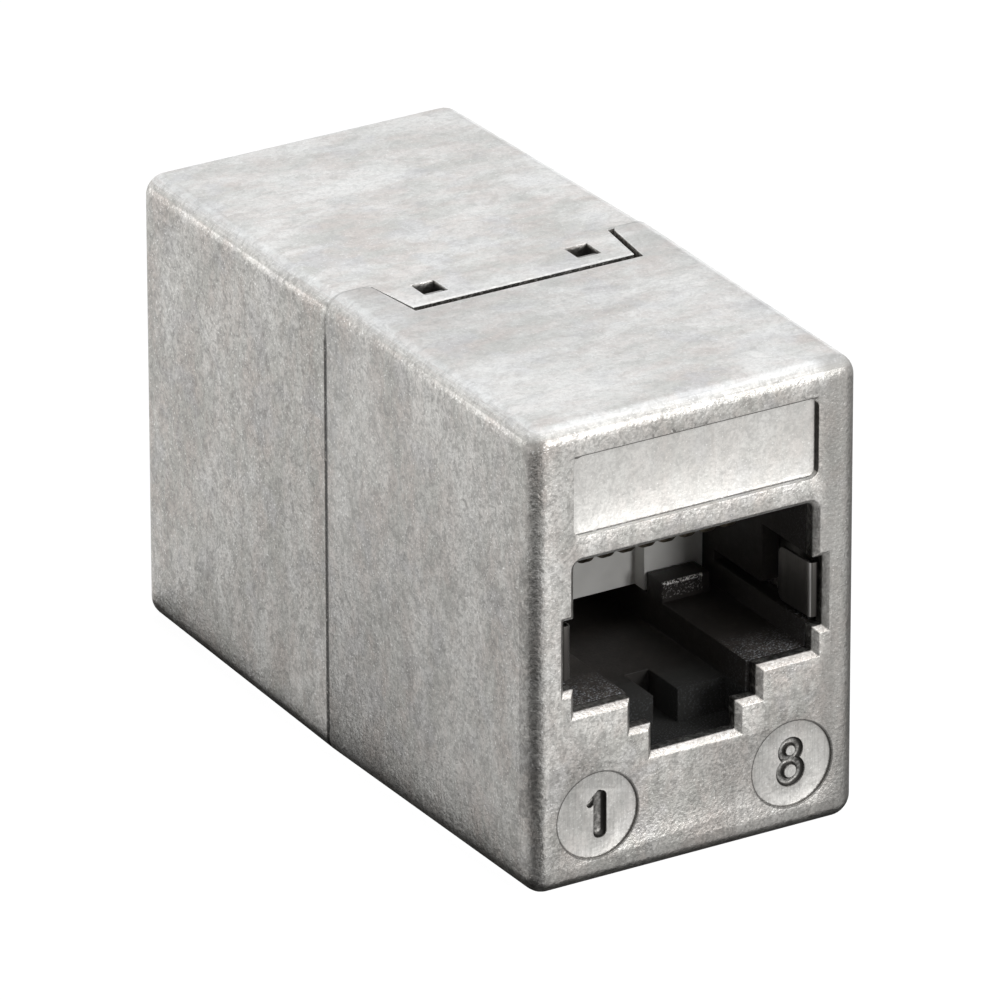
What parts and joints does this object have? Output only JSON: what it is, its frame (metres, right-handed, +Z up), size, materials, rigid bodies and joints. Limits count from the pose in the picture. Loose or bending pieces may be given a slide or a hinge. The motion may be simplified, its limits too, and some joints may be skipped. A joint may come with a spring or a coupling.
{
  "type": "rj45 inline coupler",
  "caption": "Shielded inline coupler that joins a pair of network cables end to end: snap-together cast metal housing with a latching plug socket in each end.",
  "frame": {"origin": "centre of the footprint, on the surface that the housing stands on", "axes": "+Z up, +Y along the housing to the rear socket, +X to the right seen from the front socket"},
  "size_m": [0.0164, 0.0336, 0.0219],
  "materials": {
    "cast_housing": "matte as-cast zinc alloy, fine mottled grain",
    "black_plastic": "moulded, matte",
    "white_plastic": "moulded, satin",
    "gold_contact": "gold-plated spring wire",
    "spring_strip": "tinned spring strip",
    "board": "green solder mask"
  },
  "bodies": {
    "root": {"front_shell": "cast_housing", "front_jack_body": "black_plastic", "front_contact_carrier": "white_plastic", "front_contact_1": "gold_contact", "front_contact_2": "gold_contact", "front_contact_3": "gold_contact", "front_contact_4": "gold_contact", "front_contact_5": "gold_contact", "front_contact_6": "gold_contact", "front_contact_7": "gold_contact", "front_contact_8": "gold_contact", "front_left_shield_spring": "spring_strip", "front_right_shield_spring": "spring_strip", "rear_shell": "cast_housing", "rear_jack_body": "black_plastic", "rear_contact_carrier": "white_plastic", "rear_contact_1": "gold_contact", "rear_contact_2": "gold_contact", "rear_contact_3": "gold_contact", "rear_contact_4": "gold_contact", "rear_contact_5": "gold_contact", "rear_contact_6": "gold_contact", "rear_contact_7": "gold_contact", "rear_contact_8": "gold_contact", "rear_left_shield_spring": "spring_strip", "rear_right_shield_spring": "spring_strip", "circuit_board": "board"}
  },
  "joints": []
}
